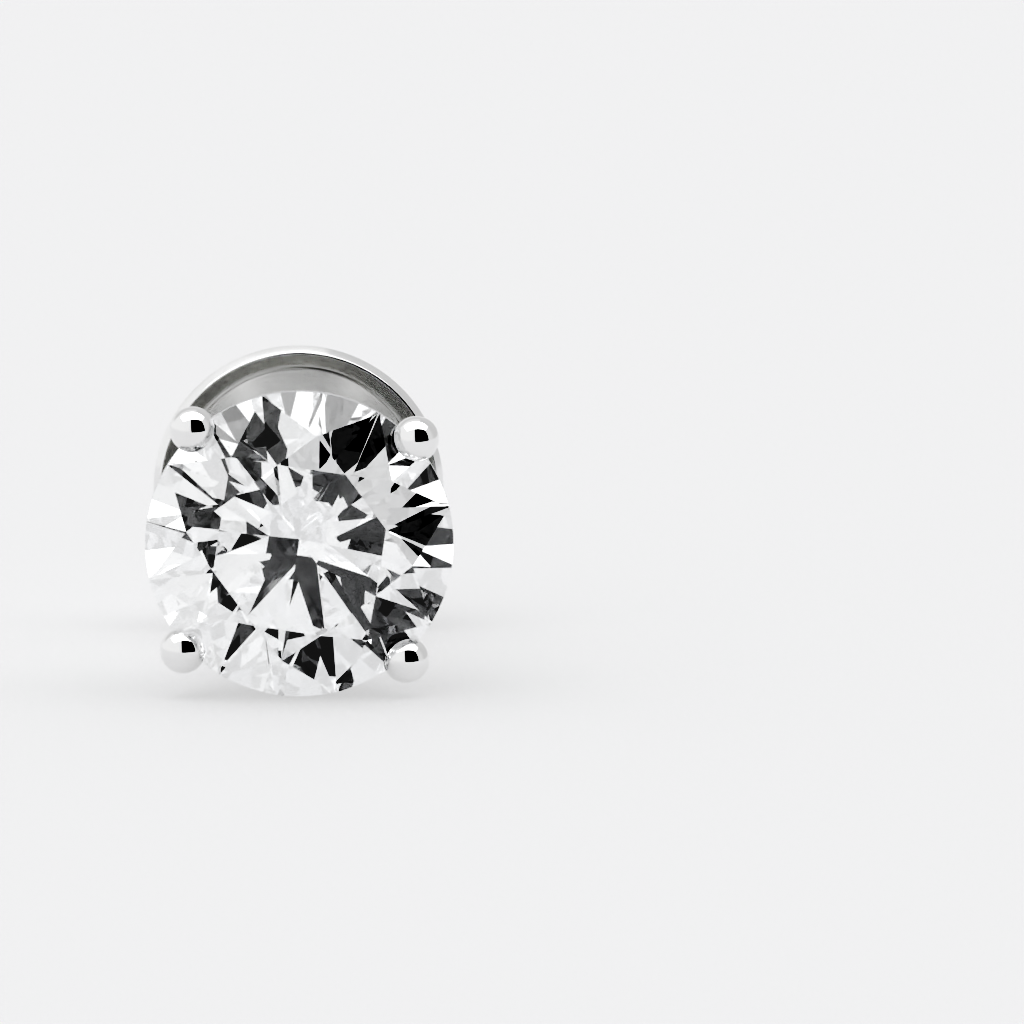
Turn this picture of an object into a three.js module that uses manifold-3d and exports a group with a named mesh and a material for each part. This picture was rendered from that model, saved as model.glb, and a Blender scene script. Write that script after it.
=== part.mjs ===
// A four-claw stud earring: a round brilliant-cut stone, a setting with its post, and a friction back.
// It lies unworn on a flat surface at Z = 0, resting on the stone's girdle and on the rim of the back.
// The stone faces -Y and the post points to +Y. Sizes are in millimetres and angles in degrees.
// Every piece is drawn round its own axis, which is local Y, with Y = 0 at the middle of the girdle.

import * as THREE from 'three';
import { mergeVertices } from 'three/addons/utils/BufferGeometryUtils.js';
import Module from 'manifold-3d';

const wasm = await Module();
wasm.setup();

// Stone
const stoneDiameter = 6.5;
const tableDiameter = 3.75; // across the table's corners
const girdleThickness = 0.28; // at the facets' corners, where it is thickest
const crownAngle = 32.1; // between the girdle's plane and a main facet of the crown
const pavilionAngle = 40.8;
const starShare = 0.45; // how far a star facet reaches from the table's side to the girdle
const lowerHalfShare = 0.8; // how far a lower half facet reaches from the girdle to the culet
const stoneTurn = 16.3; // from level to the first corner of the table, before the earring is rolled
const stepsPerHalfFacet = 4; // straight sides of the girdle along each half facet

// Setting
const clawCount = 4;
const clawDiameter = 0.8;
const clawTipDiameter = 0.97;
const clawTipOutset = 0.085; // from the girdle out to the middle of a claw's tip
const clawTipRise = 0.2; // from the girdle's plane forward to the middle of a claw's tip
const seatClearance = 0.03; // between the stone and the metal cut to hold it
const galleryWire = 0.7;
const galleryDepth = 1.5; // from the girdle's plane back to the middle of the gallery ring
const culetClearance = 0.15; // between the stone's point and the base plate
const basePlateDiameter = 2.6;
const basePlateThickness = 0.5;
const postDiameter = 0.9;
const postLength = 10; // from the base plate's rear face to the end of the post
const postEndRadius = 0.3;
const notchDepth = 0.08;
const notchWidth = 0.7;
const notchToEnd = 1.7; // from the middle of the notch to the end of the post

// Friction back
const backDiameter = 6.26;
const backSheet = 0.2;
const backReach = 7.75; // from the girdle's plane back to the front of the rim
const dishDepth = 0.35; // from the front of the rim to the floor of the dish
const dishFloorDiameter = 5.4;
const postClearance = 0.04; // between the post and the hole in the back
const gripClearance = 0.03; // between the post and a curled grip
const gripWidth = 1.9;
const gripStartRadius = 0.8; // of a grip's middle line where it leaves the dish
const gripEndRadius = 0.55;
const gripEndAngle = 240; // from outward, on past the side that faces the post
const weldDepth = 0.06; // how far the band of the grips is sunk into the dish

// How it lies
const rollAngle = 2.6; // of the stone and the setting, clockwise seen from the front; the back stays level

// Roundness
const roundSides = 32;
const discSides = 40;
const tipRings = 14;
const gripSteps = 18;
const arcSteps = 6;
const mergeTolerance = 1e-4;

const radians = THREE.MathUtils.degToRad;
const lerp = THREE.MathUtils.lerp;

const stoneRadius = stoneDiameter / 2;
const postRadius = postDiameter / 2;
const clawTipRadius = clawTipDiameter / 2;
const clawTipRing = stoneRadius + clawTipOutset;
const clawFootRing = (basePlateDiameter - clawDiameter) / 2;
const culetDepth = girdleThickness / 2 + stoneRadius * Math.tan(radians(pavilionAngle));
const basePlateFront = culetDepth + culetClearance;
const basePlateRear = basePlateFront + basePlateThickness;
const clawFootDepth = (basePlateFront + basePlateRear) / 2;
const postEnd = basePlateRear + postLength;
const dishFloor = backReach + dishDepth;
const dishRear = dishFloor + backSheet;

const silver = { color: 0xdfe0e2, roughness: 0.08, metalness: 1 };

// A closed solid from a three.js geometry: equal corners become one, and collapsed triangles go.
function solidFrom(geometry) {
  const bare = geometry.index ? geometry.clone() : geometry;
  bare.deleteAttribute('normal');
  bare.deleteAttribute('uv');
  const merged = mergeVertices(bare, mergeTolerance);
  const index = merged.index.array;
  const corners = [];
  for (let i = 0; i < index.length; i += 3) {
    const [a, b, c] = index.slice(i, i + 3);
    if (a !== b && b !== c && c !== a) {
      corners.push(a, b, c);
    }
  }
  const vertProperties = new Float32Array(merged.attributes.position.array);
  const triVerts = new Uint32Array(corners);
  return new wasm.Manifold(new wasm.Mesh({ numProp: 3, vertProperties, triVerts }));
}

function geometryFrom(solid) {
  const { vertProperties, triVerts } = solid.getMesh();
  const geometry = new THREE.BufferGeometry();
  geometry.setAttribute('position', new THREE.BufferAttribute(vertProperties, 3));
  geometry.setIndex(new THREE.BufferAttribute(triVerts, 1));
  geometry.computeVertexNormals();
  return geometry;
}

function piece(name, geometry, finish) {
  const mesh = new THREE.Mesh(geometry, new THREE.MeshStandardMaterial(finish));
  mesh.name = name;
  return mesh;
}

// Points of an arc in the lathe's plane, where x is the radius and y the depth.
function arcPoints(x, y, radius, startAngle, endAngle) {
  return Array.from({ length: arcSteps + 1 }, (_, i) => {
    const angle = lerp(startAngle, endAngle, i / arcSteps);
    return new THREE.Vector2(x + radius * Math.cos(angle), y + radius * Math.sin(angle));
  });
}

// The round brilliant, or the space that it needs when every facet is moved out by `clearance`.
// A main facet's plane gives the height at any radius and turn from its middle, a half facet's plane
// cuts the round girdle a little deeper midway between its corners, which scallops the girdle's edges.
function brilliantGeometry(clearance) {
  const octant = Math.PI / 4;
  const half = octant / 2;
  const quarter = half / 2;
  const radius = stoneRadius + clearance;
  const tableRadius = tableDiameter / 2 + clearance;
  const edge = girdleThickness / 2 + clearance;
  const crownSlope = Math.tan(radians(crownAngle));
  const pavilionSlope = Math.tan(radians(pavilionAngle));
  const tableHeight = edge + (radius - tableRadius) * crownSlope;
  const starRadius = lerp(tableRadius * Math.cos(half), radius, starShare);
  const starHeight = edge + (radius - starRadius * Math.cos(half)) * crownSlope;
  const lowerRadius = radius * (1 - lowerHalfShare);
  const lowerDepth = edge + (radius - lowerRadius * Math.cos(half)) * pavilionSlope;
  const girdleSteps = 16 * stepsPerHalfFacet;

  function girdleEdge(angle, tipRadius, tipHeight) {
    const chord = radius * Math.cos(quarter);
    const outside = radius * Math.cos((angle % half) - quarter) - chord;
    return edge - (outside * (tipHeight - edge)) / ((radius - tipRadius) * Math.cos(quarter));
  }

  const points = [];
  function addPoint(angle, r, depth) {
    const turned = angle + radians(stoneTurn);
    points.push(r * Math.cos(turned), depth, r * Math.sin(turned));
    return points.length / 3 - 1;
  }

  function addRing(count, firstAngle, r, depthAt) {
    return Array.from({ length: count }, (_, i) => {
      const angle = (i * 2 * Math.PI) / count;
      return addPoint(angle + firstAngle, r, depthAt(angle));
    });
  }

  const table = addRing(8, 0, tableRadius, () => -tableHeight);
  const stars = addRing(8, half, starRadius, () => -starHeight);
  const crownEdge = addRing(girdleSteps, 0, radius, (a) => -girdleEdge(a, starRadius, starHeight));
  const pavilionEdge = addRing(girdleSteps, 0, radius, (a) => girdleEdge(a, lowerRadius, lowerDepth));
  const lowers = addRing(8, half, lowerRadius, () => lowerDepth);
  const culet = addPoint(0, 0, edge + radius * pavilionSlope);

  const triangles = [];
  for (let i = 1; i < 7; i += 1) {
    triangles.push(table[0], table[i], table[i + 1]);
  }
  for (let i = 0; i < 8; i += 1) {
    const next = (i + 1) % 8;
    const before = (i + 7) % 8;
    const corner = (i * girdleSteps) / 8;
    triangles.push(table[i], stars[i], table[next]);
    triangles.push(table[i], stars[before], crownEdge[corner]);
    triangles.push(table[i], crownEdge[corner], stars[i]);
    triangles.push(culet, lowers[i], pavilionEdge[corner]);
    triangles.push(culet, pavilionEdge[corner], lowers[before]);
  }
  for (let i = 0; i < girdleSteps; i += 1) {
    const next = (i + 1) % girdleSteps;
    const facet = Math.floor((i * 8) / girdleSteps);
    triangles.push(stars[facet], crownEdge[i], crownEdge[next]);
    triangles.push(crownEdge[i], pavilionEdge[i], pavilionEdge[next]);
    triangles.push(crownEdge[i], pavilionEdge[next], crownEdge[next]);
    triangles.push(lowers[facet], pavilionEdge[next], pavilionEdge[i]);
  }

  const geometry = new THREE.BufferGeometry();
  geometry.setAttribute('position', new THREE.Float32BufferAttribute(points, 3));
  geometry.setIndex(triangles);
  return geometry;
}

function stone() {
  const geometry = brilliantGeometry(0).toNonIndexed();
  geometry.computeVertexNormals();
  return piece('stone', geometry, { color: 0xf4f6f8, roughness: 0, metalness: 0 });
}

// A claw is a round wire from the base plate out to its ball tip beside the girdle.
function clawSolid(angle) {
  const foot = new THREE.Vector3(clawFootRing, clawFootDepth, 0);
  const tip = new THREE.Vector3(clawTipRing, -clawTipRise, 0);
  const wire = new THREE.ExtrudeGeometry(
    new THREE.Shape().absarc(0, 0, clawDiameter / 2, 0, 2 * Math.PI),
    { extrudePath: new THREE.LineCurve3(foot, tip), steps: 1, curveSegments: roundSides / 4 },
  );
  const ball = new THREE.SphereGeometry(clawTipRadius, roundSides * 0.75, tipRings);
  ball.translate(tip.x, tip.y, tip.z);
  wire.rotateY(-angle);
  ball.rotateY(-angle);
  return solidFrom(wire).add(solidFrom(ball));
}

// The ring that ties the claws together, centred on their wires.
function galleryRingSolid() {
  const along = (galleryDepth + clawTipRise) / (clawFootDepth + clawTipRise);
  const ring = new THREE.TorusGeometry(
    lerp(clawTipRing, clawFootRing, along), galleryWire / 2, roundSides / 2, discSides,
  );
  ring.rotateX(Math.PI / 2);
  ring.translate(0, galleryDepth, 0);
  return solidFrom(ring);
}

// The base plate and the post, turned in one, with the notch and the rounded end of the post.
function stemSolid() {
  const notch = postEnd - notchToEnd;
  const endArc = arcPoints(postRadius - postEndRadius, postEnd - postEndRadius, postEndRadius, 0, Math.PI / 2);
  const profile = [
    new THREE.Vector2(0, basePlateFront),
    new THREE.Vector2(basePlateDiameter / 2, basePlateFront),
    new THREE.Vector2(basePlateDiameter / 2, basePlateRear),
    new THREE.Vector2(postRadius, basePlateRear),
    new THREE.Vector2(postRadius, notch - notchWidth / 2),
    new THREE.Vector2(postRadius - notchDepth, notch - notchWidth / 4),
    new THREE.Vector2(postRadius - notchDepth, notch + notchWidth / 4),
    new THREE.Vector2(postRadius, notch + notchWidth / 2),
    ...endArc,
    new THREE.Vector2(0, postEnd),
  ];
  return solidFrom(new THREE.LatheGeometry(profile, roundSides));
}

function setting() {
  let solid = stemSolid().add(galleryRingSolid());
  for (let i = 0; i < clawCount; i += 1) {
    solid = solid.add(clawSolid(((i + 0.5) * 2 * Math.PI) / clawCount));
  }
  solid = solid.subtract(solidFrom(brilliantGeometry(seatClearance)));
  return piece('setting', geometryFrom(solid), silver);
}

// The dish of the back: a flat floor, a sloping wall and a rounded rim, all of one sheet.
// It is turned by half a side, so that a side of the rim faces the surface and not a corner.
function dishSolid() {
  const halfSheet = backSheet / 2;
  const rim = new THREE.Vector2(backDiameter / 2 - halfSheet, backReach + halfSheet);
  const corner = new THREE.Vector2(dishFloorDiameter / 2, dishFloor);
  const rise = corner.y - rim.y;
  const run = rim.x - corner.x;
  const wallAngle = Math.atan2(rise, run) + Math.asin(halfSheet / Math.hypot(run, rise));
  const inside = -Math.PI / 2 - wallAngle;
  const profile = [
    new THREE.Vector2(0, dishFloor),
    corner,
    ...arcPoints(rim.x, rim.y, halfSheet, inside, inside + Math.PI),
    new THREE.Vector2(corner.x + backSheet * Math.tan(wallAngle / 2), dishRear),
    new THREE.Vector2(0, dishRear),
  ];
  return solidFrom(new THREE.LatheGeometry(profile, discSides, Math.PI / discSides));
}

// The band behind the dish, whose two ends curl in spirals until they face the post.
function gripSolid() {
  const startAngle = -Math.PI / 2;
  const endAngle = radians(gripEndAngle);
  const halfSheet = backSheet / 2;
  const radiusAt = (angle) => {
    const share = (angle - startAngle) / (endAngle - startAngle);
    return lerp(gripStartRadius, gripEndRadius, share);
  };
  const centreX = postRadius + gripClearance + halfSheet + radiusAt(Math.PI);
  const centreY = dishRear - weldDepth + halfSheet + gripStartRadius;
  const spiral = (offset) => Array.from({ length: gripSteps + 1 }, (_, i) => {
    const angle = lerp(startAngle, endAngle, i / gripSteps);
    const r = radiusAt(angle) + offset;
    return new THREE.Vector2(centreX + r * Math.cos(angle), centreY + r * Math.sin(angle));
  });
  const right = [...spiral(halfSheet), ...spiral(-halfSheet).reverse()];
  const left = right.map((p) => new THREE.Vector2(-p.x, p.y)).reverse();
  const band = new THREE.ExtrudeGeometry(
    new THREE.Shape([...right, ...left]), { depth: gripWidth, bevelEnabled: false },
  );
  band.translate(0, 0, -gripWidth / 2);
  return solidFrom(band);
}

function earBack() {
  const holeRadius = postRadius + postClearance;
  const drill = new THREE.CylinderGeometry(holeRadius, holeRadius, 2 * (dishRear - backReach), roundSides);
  drill.translate(0, dishRear, 0);
  const solid = dishSolid().add(gripSolid()).subtract(solidFrom(drill));
  return piece('ear_back', geometryFrom(solid), silver);
}

// The tilt at which a side of the girdle and a side of the smaller rim both touch the surface.
function restingTilt() {
  const rimRadius = backSheet / 2;
  const girdleFlat = stoneRadius * Math.cos(Math.PI / (16 * stepsPerHalfFacet));
  const rimFlat = (backDiameter / 2 - rimRadius) * Math.cos(Math.PI / discSides);
  const drop = girdleFlat - rimFlat;
  const reach = backReach + rimRadius - girdleThickness / 2;
  return Math.acos(rimRadius / Math.hypot(drop, reach)) - Math.atan2(reach, drop);
}

const stud = new THREE.Group();
stud.add(stone(), setting());
stud.rotation.y = radians(rollAngle);

const earring = new THREE.Group();
earring.add(stud, earBack());
earring.rotation.x = -restingTilt();

const part = new THREE.Group();
part.add(earring);
const box = new THREE.Box3().setFromObject(part, true);
const middle = box.getCenter(new THREE.Vector3());
earring.position.set(-middle.x, -middle.y, -box.min.z);

export default part;
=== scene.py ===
import math

import bmesh
import bpy
import numpy as np
from mathutils import Matrix, Vector


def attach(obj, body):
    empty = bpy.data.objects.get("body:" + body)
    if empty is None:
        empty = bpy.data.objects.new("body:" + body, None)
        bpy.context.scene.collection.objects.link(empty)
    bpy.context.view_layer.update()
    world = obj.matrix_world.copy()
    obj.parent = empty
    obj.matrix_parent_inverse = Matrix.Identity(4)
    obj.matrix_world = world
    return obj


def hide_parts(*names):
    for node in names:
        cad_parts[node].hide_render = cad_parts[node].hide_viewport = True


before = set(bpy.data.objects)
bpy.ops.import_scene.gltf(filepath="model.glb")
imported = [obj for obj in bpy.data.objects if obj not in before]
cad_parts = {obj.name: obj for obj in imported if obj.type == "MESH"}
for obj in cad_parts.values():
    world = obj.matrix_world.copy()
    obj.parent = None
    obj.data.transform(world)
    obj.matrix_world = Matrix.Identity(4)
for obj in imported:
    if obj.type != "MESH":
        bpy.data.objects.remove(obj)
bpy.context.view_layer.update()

# Sizes are in millimetres and angles in degrees. Each piece is drawn round its own Y axis: Y = 0 is the
# middle of the stone's girdle, the stone faces -Y, and the post runs to +Y.
mm = 0.001

lie = {
    "girdleCentre": (0.0, -6.282, 3.248),  # where the pieces' own origin lies
    "tilt": 0.9319,  # of the whole earring, with the post's end down
    "roll": 2.6,  # of the stone and the setting, clockwise seen from the front
}


def turnAboutX(angle):
    c, s = math.cos(math.radians(angle)), math.sin(math.radians(angle))
    return np.array([[1, 0, 0], [0, c, -s], [0, s, c]])


def turnAboutY(angle):
    c, s = math.cos(math.radians(angle)), math.sin(math.radians(angle))
    return np.array([[c, 0, s], [0, 1, 0], [-s, 0, c]])


backTurn = turnAboutX(-lie["tilt"])
studTurn = backTurn @ turnAboutY(lie["roll"])


# own millimetres to the scene's metres: turned as the piece lies, then moved to the girdle's centre
def placed(points, turn):
    return (np.asarray(points) @ turn.T + np.array(lie["girdleCentre"])) * mm


def makeObject(name, points, faces):
    mesh = bpy.data.meshes.new(name)
    mesh.from_pydata(np.asarray(points, float).tolist(), [], faces)
    obj = bpy.data.objects.new(name, mesh)
    bpy.context.scene.collection.objects.link(obj)
    turnFacesOut(obj)
    return obj


def turnFacesOut(obj):
    bm = bmesh.new()
    bm.from_mesh(obj.data)
    bmesh.ops.recalc_face_normals(bm, faces=bm.faces)
    bm.to_mesh(obj.data)
    bm.free()


# smooth all over, but for the edges that are sharper than an angle
def shadeSmooth(obj, sharpAngle):
    mesh = obj.data
    mesh.polygons.foreach_set("use_smooth", np.ones(len(mesh.polygons), bool))
    mesh.set_sharp_from_angle(angle=math.radians(sharpAngle))


# four corners of each quad of a grid: a point, the next in its row, and the same two in the next row; the
# columns close on themselves, and the rows too if asked
def gridFaces(rows, columns, closeRows=False):
    row = np.arange(rows if closeRows else rows - 1)[:, None]
    column = np.arange(columns)[None, :]
    nextRow, nextColumn = (row + 1) % rows, (column + 1) % columns
    corners = [row * columns + column, row * columns + nextColumn, nextRow * columns + nextColumn,
               nextRow * columns + column]
    return np.stack(corners, -1).reshape(-1, 4).tolist()


# a profile of (radius, depth) points turned about Y: x = radius cos a, y = depth, z = radius sin a; it
# closes on itself, or starts and ends on the axis
def lathe(profile, sides, closed=False):
    profile = np.asarray(profile, float)
    angles = np.arange(sides) * 2 * np.pi / sides
    body = profile if closed else profile[1:-1]
    radius, depth = body[:, :1], np.repeat(body[:, 1:], sides, 1)
    points = np.stack([radius * np.cos(angles), depth, radius * np.sin(angles)], -1).reshape(-1, 3)
    faces = gridFaces(len(body), sides, closed)
    if not closed:
        first, last = len(points), len(points) + 1
        side = np.arange(sides)
        nextSide = (side + 1) % sides
        end = (len(body) - 1) * sides
        faces += np.stack([np.full(sides, first), nextSide, side], 1).tolist()
        faces += np.stack([np.full(sides, last), end + side, end + nextSide], 1).tolist()
        points = np.concatenate([points, [[0, profile[0, 1], 0], [0, profile[-1, 1], 0]]])
    return points, faces


# points on a circle round (x, y): x + radius cos a, y + radius sin a
def arc(x, y, radius, start, end, steps):
    a = np.radians(np.linspace(start, end, steps + 1))
    return np.stack([x + radius * np.cos(a), y + radius * np.sin(a)], 1)


# points spread evenly from one place to another
def line(start, end, count):
    return np.stack([np.linspace(a, b, count) for a, b in zip(start, end)], 1)


# joins other solids to obj, or cuts them from it, and removes them
def combine(obj, others, operation):
    for other in others:
        modifier = obj.modifiers.new(operation, "BOOLEAN")
        modifier.operation = operation
        modifier.solver = "EXACT"
        modifier.object = other
    graph = bpy.context.evaluated_depsgraph_get()
    mesh = bpy.data.meshes.new_from_object(obj.evaluated_get(graph))
    obj.modifiers.clear()
    obj.data = mesh
    mesh.name = obj.name
    for other in others:
        bpy.data.objects.remove(other)


# a hex colour to linear light, by the sRGB curve
def linear(code):
    srgb = [int(code[i:i + 2], 16) / 255 for i in (0, 2, 4)]
    return [c / 12.92 if c <= 0.04045 else ((c + 0.055) / 1.055) ** 2.4 for c in srgb] + [1.0]


# an input takes a value, a socket, or a node, whose first output is linked
def addNode(tree, kind, inputs=None, **settings):
    node = tree.nodes.new(kind)
    for key, value in settings.items():
        setattr(node, key, value)
    for key, value in (inputs or {}).items():
        if isinstance(value, bpy.types.Node):
            value = value.outputs[0]
        if isinstance(value, bpy.types.NodeSocket):
            tree.links.new(value, node.inputs[key])
        else:
            node.inputs[key].default_value = value
    return node


def newMaterial(name):
    material = bpy.data.materials.new(name)
    material.use_nodes = True
    material.node_tree.nodes.clear()
    return material, material.node_tree


brilliant = {
    "diameter": 6.5,
    "tableDiameter": 3.75,  # across its corners
    "girdleThickness": 0.28,
    "crownAngle": 32.1,
    "pavilionAngle": 40.8,
    "starShare": 0.45,  # of the way from the table to the girdle
    "lowerHalfShare": 0.8,  # of the way from the girdle to the culet
    "turn": 16.3,  # in its claws
    "stepsPerHalfFacet": 12,
    "index": 2.417,
    "colour": "FFFFFF",
    "cloudColour": "FCFDFE",
    "cloudSize": 2.0,
    "girdleColour": "F2F3F5",
    "girdleRoughness": 0.2,
    "girdleHaze": 0.2,  # what the grain adds to the roughness
    "grit": 0.04,  # of the ground girdle
    "gritDepth": 0.004,
    "gritStrength": 0.4,
}


# The height over the girdle at a radius is (girdle radius - radius x cos of the turn from the facet's
# middle) x tangent of the facet's angle. Each half facet's plane meets the round girdle in a scallop,
# deepest midway.
def brilliantShell(clearance=0.0):
    steps = brilliant["stepsPerHalfFacet"]
    folds = 8  # how often the cut repeats round the stone
    half, quarter = math.pi / folds, math.pi / (2 * folds)
    radius = brilliant["diameter"] / 2 + clearance
    tableRadius = brilliant["tableDiameter"] / 2 + clearance
    edge = brilliant["girdleThickness"] / 2 + clearance
    crown = math.tan(math.radians(brilliant["crownAngle"]))
    pavilion = math.tan(math.radians(brilliant["pavilionAngle"]))
    starShare = brilliant["starShare"]
    tableHeight = edge + (radius - tableRadius) * crown
    starRadius = tableRadius * math.cos(half) * (1 - starShare) + radius * starShare
    starHeight = edge + (radius - starRadius * math.cos(half)) * crown
    lowerRadius = radius * (1 - brilliant["lowerHalfShare"])
    lowerDepth = edge + (radius - lowerRadius * math.cos(half)) * pavilion

    around = 2 * folds * steps
    angles = np.arange(around) * 2 * np.pi / around
    bulge = radius * (np.cos(angles % half - quarter) - math.cos(quarter))

    # the round edge's depth where the half facets that run to a tip cut it
    def scallops(tipRadius, tipHeight):
        return edge - bulge * (tipHeight - edge) / ((radius - tipRadius) * math.cos(quarter))

    def ring(count, first, r, depth):
        a = first + np.arange(count) * 2 * np.pi / count + math.radians(brilliant["turn"])
        return np.stack([r * np.cos(a), np.broadcast_to(depth, count), r * np.sin(a)], 1)

    rings = [
        ring(folds, 0, tableRadius, -tableHeight),
        ring(folds, half, starRadius, -starHeight),
        ring(around, 0, radius, -scallops(starRadius, starHeight)),
        ring(around, 0, radius, scallops(lowerRadius, lowerDepth)),
        ring(folds, half, lowerRadius, lowerDepth),
        np.array([[0, edge + radius * pavilion, 0]]),
    ]
    table, star, top, bottom, lower, culet = np.cumsum([0] + [len(r) for r in rings[:-1]]).tolist()
    facets = [[table + i for i in range(folds)]]
    for i in range(folds):
        after, before = (i + 1) % folds, (i - 1) % folds
        corner = 2 * i * steps
        first = [k % around for k in range(corner, corner + steps + 1)]
        second = [k % around for k in range(corner + steps, corner + 2 * steps + 1)]
        facets += [
            [table + i, star + i, table + after],
            [table + i, star + before, top + corner, star + i],
            [star + i] + [top + k for k in first],
            [star + i] + [top + k for k in second],
            [culet, lower + i, bottom + corner, lower + before],
            [lower + i] + [bottom + k for k in reversed(first)],
            [lower + i] + [bottom + k for k in reversed(second)],
        ]
    side = np.arange(around)
    nextSide = (side + 1) % around
    girdle = np.stack([top + side, bottom + side, bottom + nextSide, top + nextSide], 1).tolist()
    return np.concatenate(rings), facets, girdle


# Polished diamond: clear, with an index far over glass's, so its facets flash white and black. The
# faintest clouds of tint keep it from one flat colour.
def polishedDiamond():
    material, tree = newMaterial("polished diamond")
    place = addNode(tree, "ShaderNodeTexCoord").outputs["Object"]
    clouds = addNode(tree, "ShaderNodeTexNoise", {
        "Vector": place, "Scale": 1 / (brilliant["cloudSize"] * mm), "Detail": 2.0})
    tint = addNode(tree, "ShaderNodeMix", {
        "Factor": clouds,
        "A": linear(brilliant["colour"]),
        "B": linear(brilliant["cloudColour"]),
    }, data_type="RGBA")
    shader = addNode(tree, "ShaderNodeBsdfPrincipled", {
        "Base Color": tint.outputs["Result"],
        "Roughness": 0.0,
        "IOR": brilliant["index"],
        "Transmission Weight": 1.0,
    })
    addNode(tree, "ShaderNodeOutputMaterial", {"Surface": shader})
    return material


# Ground diamond: the girdle is left as the grit leaves it, so it shows as a soft whitish line.
def groundDiamond():
    material, tree = newMaterial("ground diamond")
    place = addNode(tree, "ShaderNodeTexCoord").outputs["Object"]
    grain = addNode(tree, "ShaderNodeTexNoise", {
        "Vector": place, "Scale": 1 / (brilliant["grit"] * mm), "Detail": 3.0})
    roughness = addNode(tree, "ShaderNodeMath", {
        0: grain, 1: brilliant["girdleHaze"], 2: brilliant["girdleRoughness"]}, operation="MULTIPLY_ADD")
    bump = addNode(tree, "ShaderNodeBump", {
        "Height": grain, "Strength": brilliant["gritStrength"], "Distance": brilliant["gritDepth"] * mm})
    shader = addNode(tree, "ShaderNodeBsdfPrincipled", {
        "Base Color": linear(brilliant["girdleColour"]),
        "Roughness": roughness,
        "IOR": brilliant["index"],
        "Transmission Weight": 1.0,
        "Normal": bump,
    })
    addNode(tree, "ShaderNodeOutputMaterial", {"Surface": shader})
    return material


def makeStone():
    points, facets, girdle = brilliantShell()
    stone = makeObject("brilliant_stone", placed(points, studTurn), facets + girdle)
    stone.data.materials.append(polishedDiamond())
    stone.data.materials.append(groundDiamond())
    isGirdle = np.arange(len(facets) + len(girdle)) >= len(facets)
    stone.data.polygons.foreach_set("material_index", isGirdle.astype(np.int32))
    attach(stone, "stud")
    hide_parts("stone")
    print("stone made:", len(facets), "facets")


# What all the white gold shares. Its polishing lines are drawn far coarser than real ones, which are under
# a hundredth of a millimetre.
whiteGold = {
    "deepShare": 0.94,  # of the colour's light where the clouds are thickest
    "lineHaze": 0.5,  # what the lines add to the roughness, as a share of what the clouds add
    "lineWidth": 0.02,
    "lineStretch": 0.08,
    "lineDepth": 0.001,
}


# White gold, rhodium plated: colour and roughness vary in soft clouds, and fine polishing lines run up it.
def metal(name, colour, roughness, haze, cloudSize, lines):
    material, tree = newMaterial(name)
    place = addNode(tree, "ShaderNodeTexCoord").outputs["Object"]
    clouds = addNode(tree, "ShaderNodeTexNoise", {
        "Vector": place, "Scale": 1 / (cloudSize * mm), "Detail": 4.0})
    stretched = addNode(tree, "ShaderNodeMapping", {
        "Vector": place, "Scale": (1.0, 1.0, whiteGold["lineStretch"])})
    polish = addNode(tree, "ShaderNodeTexNoise", {
        "Vector": stretched, "Scale": 1 / (whiteGold["lineWidth"] * mm), "Detail": 3.0})
    pale = linear(colour)
    deep = [c * whiteGold["deepShare"] for c in pale[:3]] + [1.0]
    tone = addNode(tree, "ShaderNodeMix", {"Factor": clouds, "A": pale, "B": deep}, data_type="RGBA")
    clouded = addNode(tree, "ShaderNodeMath", {0: clouds, 1: haze, 2: roughness}, operation="MULTIPLY_ADD")
    lined = addNode(tree, "ShaderNodeMath", {
        0: polish, 1: haze * whiteGold["lineHaze"], 2: clouded}, operation="MULTIPLY_ADD")
    bump = addNode(tree, "ShaderNodeBump", {
        "Height": polish, "Strength": lines, "Distance": whiteGold["lineDepth"] * mm})
    shader = addNode(tree, "ShaderNodeBsdfPrincipled", {
        "Base Color": tone.outputs["Result"],
        "Metallic": 1.0,
        "Roughness": lined,
        "Normal": bump,
    })
    addNode(tree, "ShaderNodeOutputMaterial", {"Surface": shader})
    return material


setting = {
    "claws": 4,
    "wire": 0.8,
    "tip": 0.97,  # each claw's ball
    "tipOutset": 0.085,  # of the ball's middle past the girdle
    "tipRise": 0.2,  # of the ball's middle over the girdle
    "tipFillet": 0.12,  # between wire and ball
    "seatClearance": 0.03,
    "galleryWire": 0.7,
    "galleryDepth": 1.5,
    "culetClearance": 0.15,
    "plateDiameter": 2.6,
    "plateThickness": 0.5,
    "plateRound": 0.08,
    "postDiameter": 0.9,
    "postLength": 10.0,
    "postEndRadius": 0.3,
    "postFillet": 0.12,
    "notchDepth": 0.08,
    "notchWidth": 0.7,
    "notchToEnd": 1.7,
    "clawSides": 64,
    "wireRows": 13,
    "ballSteps": 40,
    "gallerySides": 160,
    "galleryWireSides": 40,
    "stemSides": 96,
    "postRows": 10,
    "notchRows": 17,
    "endSteps": 8,
    "roundSteps": 6,  # of a fillet or a rounded edge
    "sharpAngle": 32.0,
    "finish": {"colour": "F7F7F7", "roughness": 0.03, "haze": 0.02, "cloudSize": 0.6, "lines": 0.05},
}

stoneRadius = brilliant["diameter"] / 2
pavilionDepth = stoneRadius * math.tan(math.radians(brilliant["pavilionAngle"]))
culetDepth = brilliant["girdleThickness"] / 2 + pavilionDepth
plateFront = culetDepth + setting["culetClearance"]
plateRear = plateFront + setting["plateThickness"]
tipRing = stoneRadius + setting["tipOutset"]
footRing = (setting["plateDiameter"] - setting["wire"]) / 2
footDepth = (plateFront + plateRear) / 2
postRadius = setting["postDiameter"] / 2
postEnd = plateRear + setting["postLength"]


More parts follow.
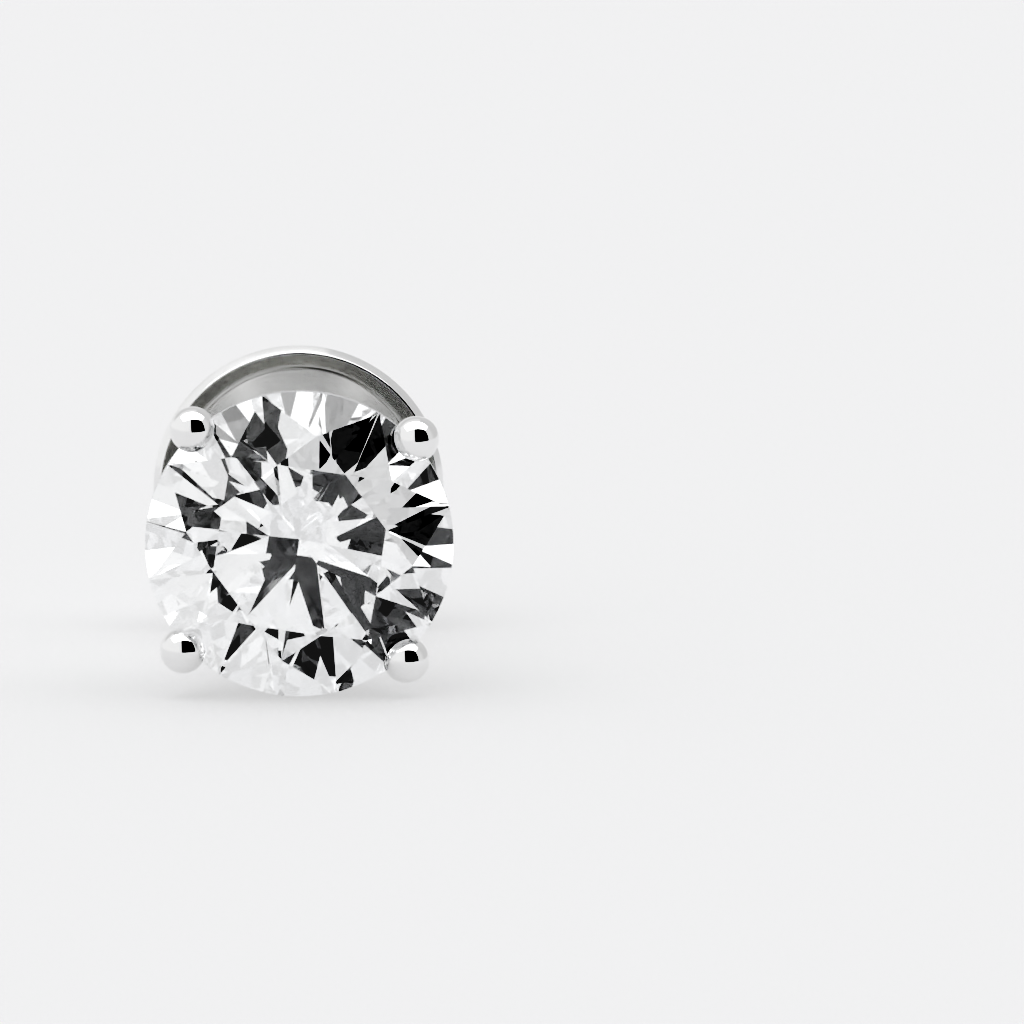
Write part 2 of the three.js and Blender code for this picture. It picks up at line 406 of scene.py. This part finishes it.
# A straight wire that swells into its ball tip through a small fillet, whose circle touches both from
# outside. It is turned about its own line, from its foot in the base plate to the ball's middle.
def clawShell(angle):
    foot = np.array([footRing, footDepth, 0.0])
    along = np.array([tipRing, -setting["tipRise"], 0.0]) - foot
    length = np.linalg.norm(along)
    along /= length
    wire, ball, fillet = setting["wire"] / 2, setting["tip"] / 2, setting["tipFillet"]
    reach = math.sqrt((ball + fillet) ** 2 - (wire + fillet) ** 2)
    meet = math.degrees(math.atan2(reach, wire + fillet))
    profile = np.concatenate([
        [[0, 0]],
        line((wire, 0), (wire, length - reach), setting["wireRows"])[:-1],
        arc(wire + fillet, length - reach, fillet, 180, 180 - meet, setting["roundSteps"]),
        arc(0, length, ball, -meet, 90, setting["ballSteps"])[1:-1],
        [[0, length + ball]],
    ])
    points, faces = lathe(profile, setting["clawSides"])
    across = np.array([along[1], -along[0], 0.0])
    points = points @ np.stack([across, along, np.cross(across, along)]) + foot
    return points @ turnAboutY(-angle).T, faces


# A round wire's circle turned about Y, at the claws' own radius for its depth.
def galleryShell():
    share = (setting["galleryDepth"] + setting["tipRise"]) / (footDepth + setting["tipRise"])
    radius = tipRing + (footRing - tipRing) * share
    wire, sides = setting["galleryWire"] / 2, setting["galleryWireSides"]
    section = arc(radius, setting["galleryDepth"], wire, 0, 360, sides)[:-1]
    return lathe(section, setting["gallerySides"], closed=True)


# Base plate with rounded edges, fillet, post, notch and rounded end, turned about Y. The notch's depth over
# its width is a whole cosine wave, (1 + cos) / 2.
def stemShell():
    plate, edge, fillet = setting["plateDiameter"] / 2, setting["plateRound"], setting["postFillet"]
    notch, notchWidth = postEnd - setting["notchToEnd"], setting["notchWidth"]
    end, steps = setting["postEndRadius"], setting["roundSteps"]
    wave = np.linspace(-0.5, 0.5, setting["notchRows"])
    dip = setting["notchDepth"] * (1 + np.cos(2 * np.pi * wave)) / 2
    shaftStart, shaftEnd = (postRadius, plateRear + fillet), (postRadius, notch - notchWidth / 2)
    profile = np.concatenate([
        [[0, plateFront]],
        arc(plate - edge, plateFront + edge, edge, -90, 0, steps),
        arc(plate - edge, plateRear - edge, edge, 0, 90, steps),
        arc(postRadius + fillet, plateRear + fillet, fillet, -90, -180, steps),
        line(shaftStart, shaftEnd, setting["postRows"])[1:-1],
        np.stack([postRadius - dip, notch + wave * notchWidth], 1),
        arc(postRadius - end, postEnd - end, end, 0, 90, setting["endSteps"]),
        [[0, postEnd]],
    ])
    return lathe(profile, setting["stemSides"])


def makeSetting():
    points, faces = stemShell()
    stem = makeObject("claw_setting", placed(points, studTurn), faces)
    points, faces = galleryShell()
    parts = [makeObject("gallery", placed(points, studTurn), faces)]
    # the claws stand midway between level and upright
    for i in range(setting["claws"]):
        points, faces = clawShell((i + 0.5) * 360 / setting["claws"])
        parts.append(makeObject("claw", placed(points, studTurn), faces))
    combine(stem, parts, "UNION")
    points, facets, girdle = brilliantShell(setting["seatClearance"])
    combine(stem, [makeObject("seat", placed(points, studTurn), facets + girdle)], "DIFFERENCE")
    shadeSmooth(stem, setting["sharpAngle"])
    stem.data.materials.clear()
    stem.data.materials.append(metal("polished white gold", **setting["finish"]))
    stem.data.polygons.foreach_set("material_index", np.zeros(len(stem.data.polygons), np.int32))
    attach(stem, "stud")
    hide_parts("setting")
    print("setting made:", len(stem.data.polygons), "faces")


dish = {
    "diameter": 6.26,
    "sheet": 0.2,
    "reach": 7.75,  # of the rim's front behind the girdle's middle
    "depth": 0.35,
    "postClearance": 0.04,
    "holeRound": 0.05,
    "cornerRadius": 0.2,  # between floor and wall
    "wallSlope": 50.0,  # from the floor
    "crestRadius": 0.04,
    "rimWidth": 0.15,
    "rimSlope": 30.0,  # of the slope's outward side, from the disc's plane towards the front
    "edgeRadius": 0.05,
    "edgeEnd": 20.0,  # where the edge's circle ends, behind the disc's plane
    "rearFlat": 0.1,  # how much further out the flat rear runs than the floor
    "rearStart": 30.0,  # where the rear's circle starts, behind the disc's plane
    "sides": 256,
    "flatRows": 10,
    "holeSteps": 4,
    "cornerSteps": 5,
    "crestSteps": 6,
    "edgeSteps": 8,
    "rearSteps": 12,
    "sharpAngle": 32.0,
    "floorFinish": {"colour": "D8D8D7", "roughness": 0.16, "haze": 0.06, "cloudSize": 0.8, "lines": 0.1},
    # the wall: rougher than the floor, and darker in colour as painted shade in the dish's hollow
    "shadedWallFinish": {"colour": "BFBFBE", "roughness": 0.38, "haze": 0.06, "cloudSize": 0.8, "lines": 0.1},
    "rimFinish": {"colour": "F6F6F6", "roughness": 0.12, "haze": 0.04, "cloudSize": 0.8, "lines": 0.1},
}

dishFloor = dish["reach"] + dish["depth"]
dishRear = dishFloor + dish["sheet"]
holeRadius = postRadius + dish["postClearance"]


# The sheet's section turned about Y: flat floor, fillet, a sloping wall that touches the fillet's circle
# and the crest's, a slope that touches the crest's circle and the edge's, and a rounded rear. Each stretch
# has a finish; the wall's is a darker, rougher copy of the floor's metal, and its darkness is painted shade.
def dishShell():
    hole, corner = dish["holeRound"], dish["cornerRadius"]
    crest, edge = dish["crestRadius"], dish["edgeRadius"]
    crestX, crestY = dish["diameter"] / 2 - dish["rimWidth"], dish["reach"] + crest
    edgeX = dish["diameter"] / 2 - edge
    wall, slope = math.radians(dish["wallSlope"]), math.radians(dish["rimSlope"])
    wallLength = (dishFloor - corner - crestY + (corner + crest) * math.cos(wall)) / math.sin(wall)
    cornerX = crestX - (corner + crest) * math.sin(wall) - wallLength * math.cos(wall)
    edgeY = crestY + ((edgeX - crestX) * math.cos(slope) + edge - crest) / math.sin(slope)
    rearX = cornerX + dish["rearFlat"]
    rearRound = dish["diameter"] / 2 - rearX
    holeX = holeRadius + hole
    wallTurn, rimTurn, halfCorner = dish["wallSlope"], dish["rimSlope"], 90 - dish["wallSlope"] / 2
    holeSteps, cornerSteps, crestSteps = dish["holeSteps"], dish["cornerSteps"], dish["crestSteps"]
    onFloor, onShadedWall, onRim = 0, 1, 2  # places in the disc's list of materials
    stretches = [
        (onFloor, arc(holeX, dishFloor + hole, hole, -180, -90, holeSteps)),
        (onFloor, line((holeX, dishFloor), (cornerX, dishFloor), dish["flatRows"])[1:-1]),
        (onFloor, arc(cornerX, dishFloor - corner, corner, 90, halfCorner, cornerSteps)),
        (onShadedWall, arc(cornerX, dishFloor - corner, corner, halfCorner, 90 - wallTurn, cornerSteps)[1:]),
        (onShadedWall, arc(crestX, crestY, crest, -90 - wallTurn, -90, crestSteps)),
        (onRim, arc(crestX, crestY, crest, -90, -rimTurn, crestSteps)[1:]),
        (onRim, arc(edgeX, edgeY, edge, -rimTurn, dish["edgeEnd"], dish["edgeSteps"])),
        (onFloor, arc(rearX, dishRear - rearRound, rearRound, dish["rearStart"], 90, dish["rearSteps"])),
        (onFloor, line((rearX, dishRear), (holeX, dishRear), dish["flatRows"])[1:-1]),
        (onFloor, arc(holeX, dishRear - hole, hole, 90, 180, holeSteps)),
    ]
    points, faces = lathe(np.concatenate([s for _, s in stretches]), dish["sides"], closed=True)
    finish = np.concatenate([np.full(len(s), number) for number, s in stretches])
    nextFinish = np.roll(finish, -1)
    # the faces that lead into a stretch have its finish, and so have those that leave the rim
    rows = np.where(finish == onRim, onRim, nextFinish)
    return points, faces, np.repeat(rows, dish["sides"])


grips = {
    "sheet": 0.2,
    "clearance": 0.03,  # off the post
    "width": 1.9,
    "startRadius": 0.8,
    "endRadius": 0.55,
    "endAngle": 240.0,
    "weldDepth": 0.06,
    "edgeRound": 0.05,
    "boreLength": 1.5,  # of the way cut for the post, from the rim's front
    "spiralPoints": 61,
    "bandRows": 10,
    "edgeSteps": 4,
    "boreSides": 64,
    "sharpAngle": 32.0,
    "finish": {"colour": "D8D8D7", "roughness": 0.16, "haze": 0.05, "cloudSize": 0.8, "lines": 0.1},
}


# A flat band with rounded edges, carried along two mirrored spirals and the straight stretch between them.
# A spiral's radius shrinks evenly with its turn.
def gripShell():
    half = grips["sheet"] / 2
    start, shrink = grips["startRadius"], grips["endRadius"] - grips["startRadius"]
    turn = np.radians(np.linspace(-90, grips["endAngle"], grips["spiralPoints"]))
    share = (turn - turn[0]) / (turn[-1] - turn[0])
    radius = start + shrink * share
    besidePost = start + shrink * (math.pi - turn[0]) / (turn[-1] - turn[0])
    middleX = postRadius + grips["clearance"] + half + besidePost
    base = dishRear - grips["weldDepth"] + half
    right = np.stack([middleX + radius * np.cos(turn), base + start + radius * np.sin(turn)], 1)
    between = line((-middleX, base), (middleX, base), grips["bandRows"])[1:-1]
    path = np.concatenate([right[::-1] * [-1, 1], between, right])
    tangent = np.gradient(path, axis=0)
    tangent /= np.linalg.norm(tangent, axis=1, keepdims=True)
    normal = np.stack([-tangent[:, 1], tangent[:, 0]], 1)
    edge = grips["edgeRound"]
    corner = arc(grips["width"] / 2 - edge, half - edge, edge, 0, 90, grips["edgeSteps"])
    section = np.concatenate([corner, corner[::-1] * [-1, 1], corner * [-1, -1], corner[::-1] * [1, -1]])
    points = np.zeros((len(path), len(section), 3))
    points[:, :, :2] = path[:, None] + normal[:, None] * section[None, :, 1:]
    points[:, :, 2] = section[:, 0]
    faces = gridFaces(len(path), len(section))
    lastRow = np.arange(len(section)) + (len(path) - 1) * len(section)
    faces += [list(range(len(section))), lastRow[::-1].tolist()]
    return points.reshape(-1, 3), faces


def makeBack():
    points, faces, finish = dishShell()
    disc = makeObject("back_dish", placed(points, backTurn), faces)
    shadeSmooth(disc, dish["sharpAngle"])
    disc.data.materials.append(metal("satin white gold", **dish["floorFinish"]))
    # the wall's darker colour is painted shade
    disc.data.materials.append(metal("pressed white gold with painted shade", **dish["shadedWallFinish"]))
    disc.data.materials.append(metal("burnished white gold", **dish["rimFinish"]))
    disc.data.polygons.foreach_set("material_index", finish.astype(np.int32))

    points, faces = gripShell()
    band = makeObject("back_grips", placed(points, backTurn), faces)
    boreEnd = dish["reach"] + grips["boreLength"]
    bore = [[0, dish["reach"]], [holeRadius, dish["reach"]], [holeRadius, boreEnd], [0, boreEnd]]
    points, faces = lathe(bore, grips["boreSides"])
    combine(band, [makeObject("bore", placed(points, backTurn), faces)], "DIFFERENCE")
    shadeSmooth(band, grips["sharpAngle"])
    band.data.materials.clear()
    band.data.materials.append(metal("sprung white gold", **grips["finish"]))
    for piece in (disc, band):
        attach(piece, "back")
        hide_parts("ear_back")
    print("back made:", len(disc.data.polygons) + len(band.data.polygons), "faces")


floor = {
    "width": 6000.0,
    "front": -60.0,  # the front edge, just short of the picture's lower edge
    "colour": "8F8F90",
    "glow": 0.6,  # it is lit through from below, which keeps the shadows light
    "glowColour": "FFFFFF",
    "roughness": 0.6,
}


# Pale matt acrylic sheet, lit through from below.
def makeFloor():
    side, front = floor["width"] / 2 * mm, floor["front"] * mm
    corners = [(-side, front, 0), (side, front, 0), (side, side, 0), (-side, side, 0)]
    obj = makeObject("floor", corners, [(0, 1, 2, 3)])
    material, tree = newMaterial("pale matt acrylic")
    shader = addNode(tree, "ShaderNodeBsdfPrincipled", {
        "Base Color": linear(floor["colour"]),
        "Roughness": floor["roughness"],
        "Specular IOR Level": 0.0,
        "Emission Color": linear(floor["glowColour"]),
        "Emission Strength": floor["glow"],
    })
    addNode(tree, "ShaderNodeOutputMaterial", {"Surface": shader})
    obj.data.materials.append(material)


studio = {
    "tent": 0.92,
    "grazing": 1e-3,  # the least outward part of a direction that meets a side
    "leastAhead": 1e-4,  # keeps the divisions finite
    # Each card lies in the plane one unit out along its side, and spans a range to the right and upwards,
    # seen from the earring: name, side, right range, up range, softness of its edges, brightness.
    "cards": [
        ("left wall", "left", (-1.2, 4.0), (-0.1, 4.0), 0.4, 1.0),
        ("right wall", "right", (-4.0, 0.3), (-0.1, 4.0), 0.4, 0.85),
        ("right rear wall", "right", (0.1, 5.0), (-0.1, 4.0), 0.4, 0.7),
        ("rear wall", "back", (-1.0, 1.4), (0.45, 1.2), 0.3, 0.75),
        ("overhead softbox", "top", (-1.02, 1.02), (-0.33, 0.6), 0.03, 2.2),
    ],
    # The tent is dark at an opening in its front, whose sides lean and whose top rises to the right.
    "opening": {
        "left": -0.08,
        "right": 2.2,
        "lean": -0.08,
        "bottom": -0.2,
        "top": 1.7,
        "rise": 0.25,
        "far": 9.0,  # past any place on it, for a side that another edge closes
        "soft": 0.002,
        "brightness": 0.01,
    },
}

# for each side: the directions outwards, to the right and upwards
sides = {
    "front": ((0, -1, 0), (1, 0, 0), (0, 0, 1)),
    "left": ((-1, 0, 0), (0, -1, 0), (0, 0, 1)),
    "right": ((1, 0, 0), (0, 1, 0), (0, 0, 1)),
    "back": ((0, 1, 0), (-1, 0, 0), (0, 0, 1)),
    "top": ((0, 0, 1), (1, 0, 0), (0, -1, 0)),
}


# The light of a white tent, a brightness for each direction: the tent's own, then each card's over it, and
# last the dark opening's. A direction's place on a side is its right and up parts over its outward part.
def makeStudio():
    world = bpy.data.worlds.new("white tent")
    bpy.context.scene.world = world
    world.use_nodes = True
    tree = world.node_tree
    tree.nodes.clear()
    direction = addNode(tree, "ShaderNodeTexCoord").outputs["Generated"]

    def placeOn(side):
        parts = []
        for axis in sides[side]:
            product = addNode(tree, "ShaderNodeVectorMath", {0: direction, 1: axis}, operation="DOT_PRODUCT")
            parts.append(product.outputs["Value"])
        outward = parts[0]
        ahead = addNode(tree, "ShaderNodeMath", {0: outward, 1: studio["leastAhead"]}, operation="MAXIMUM")
        facing = addNode(tree, "ShaderNodeMath", {
            0: outward, 1: studio["grazing"]}, operation="GREATER_THAN")
        places = [addNode(tree, "ShaderNodeMath", {0: p, 1: ahead}, operation="DIVIDE") for p in parts[1:]]
        return facing, places

    # the mask times a soft step up at low, and one down at high
    def within(mask, value, low, high, soft):
        for start, end in ((low - soft / 2, low + soft / 2), (high + soft / 2, high - soft / 2)):
            step = addNode(tree, "ShaderNodeMapRange", {
                0: value, 1: start, 2: end}, interpolation_type="SMOOTHSTEP")
            mask = addNode(tree, "ShaderNodeMath", {0: mask, 1: step}, operation="MULTIPLY")
        return mask

    light = studio["tent"]
    for name, side, rightRange, upRange, soft, brightness in studio["cards"]:
        mask, (right, up) = placeOn(side)
        mask = within(mask, right, *rightRange, soft)
        mask = within(mask, up, *upRange, soft)
        light = addNode(tree, "ShaderNodeMix", {"Factor": mask, 2: light, 3: brightness}, label=name)

    opening = studio["opening"]
    soft, far = opening["soft"], opening["far"]
    mask, (right, up) = placeOn("front")
    # a leaning side is where right - lean x up is constant, and the rising top where up - rise x right is
    upright = addNode(tree, "ShaderNodeMath", {
        0: up, 1: -opening["lean"], 2: right}, operation="MULTIPLY_ADD")
    level = addNode(tree, "ShaderNodeMath", {
        0: right, 1: -opening["rise"], 2: up}, operation="MULTIPLY_ADD")
    mask = within(mask, upright, opening["left"], opening["right"], soft)
    mask = within(mask, up, opening["bottom"], far, soft)
    mask = within(mask, level, -far, opening["top"], soft)
    light = addNode(tree, "ShaderNodeMix", {
        "Factor": mask, 2: light, 3: opening["brightness"]}, label="opening")
    # the camera itself sees the plain tent behind the floor
    seen = addNode(tree, "ShaderNodeLightPath").outputs["Is Camera Ray"]
    light = addNode(tree, "ShaderNodeMix", {"Factor": seen, 2: light, 3: studio["tent"]}, label="backdrop")
    background = addNode(tree, "ShaderNodeBackground", {"Color": light, "Strength": 1.0})
    addNode(tree, "ShaderNodeOutputWorld", {"Surface": background})


view = {
    "distance": 350.0,  # from the girdle's centre
    "elevation": 9.35,
    "azimuth": -0.1,  # towards +X is positive
    "lens": 583.0,
    "sensor": 36.0,
    "pixel": (299.3, 543.0),  # where the girdle's centre lies in the picture of 1024 by 1024
    "picture": 1024,
    # the photograph's strong contrast: light in the scene, and the light that is shown for it
    "contrast": [(0.14, 0.005), (0.25, 0.025), (0.42, 0.31), (0.56, 0.5), (0.8, 0.71), (0.92, 0.871)],
}


# The camera stands out along its angles from the girdle's centre, and aims past it by as many pixels as the
# picture's middle lies from the centre's own pixel.
def makeCamera():
    centre = Vector(lie["girdleCentre"]) * mm
    elevation, azimuth = math.radians(view["elevation"]), math.radians(view["azimuth"])
    across, up = Vector((math.cos(azimuth), math.sin(azimuth), 0)), Vector((0, 0, 1))
    outward = across.cross(up) * math.cos(elevation) + up * math.sin(elevation)
    place = centre + outward * view["distance"] * mm
    pixel = view["sensor"] / view["lens"] * view["distance"] * mm / view["picture"]
    middle = view["picture"] / 2
    aim = centre + across * (middle - view["pixel"][0]) * pixel
    aim += outward.cross(across) * (view["pixel"][1] - middle) * pixel
    data = bpy.data.cameras.new("camera")
    data.lens = view["lens"]
    data.sensor_width = view["sensor"]
    data.clip_start = 0.01
    data.clip_end = 20
    camera = bpy.data.objects.new("camera", data)
    bpy.context.scene.collection.objects.link(camera)
    backward = (place - aim).normalized()
    right = up.cross(backward).normalized()
    camera.matrix_world = Matrix((right, backward.cross(right), backward)).transposed().to_4x4()
    camera.location = place
    bpy.context.scene.camera = camera


def setLook():
    scene = bpy.context.scene
    scene.view_settings.view_transform = "Standard"
    scene.view_settings.look = "None"
    curve = scene.view_settings.curve_mapping
    combined = curve.curves[3]  # after the red, green and blue ones
    for light, shown in view["contrast"]:
        combined.points.new(light, shown)
    curve.update()
    scene.view_settings.use_curve_mapping = True
    # light takes many bounces to leave a diamond
    scene.cycles.max_bounces = 32
    scene.cycles.transmission_bounces = 32
    scene.cycles.glossy_bounces = 16
    scene.cycles.diffuse_bounces = 4
    scene.cycles.transparent_max_bounces = 16
    scene.cycles.caustics_reflective = True
    scene.cycles.caustics_refractive = True
    scene.cycles.sample_clamp_indirect = 6.0
    scene.cycles.denoising_input_passes = "RGB"  # the other passes are noisy inside the stone


makeStone()
makeSetting()
makeBack()
makeFloor()
makeStudio()
makeCamera()
setLook()
print("stage, light and camera made")
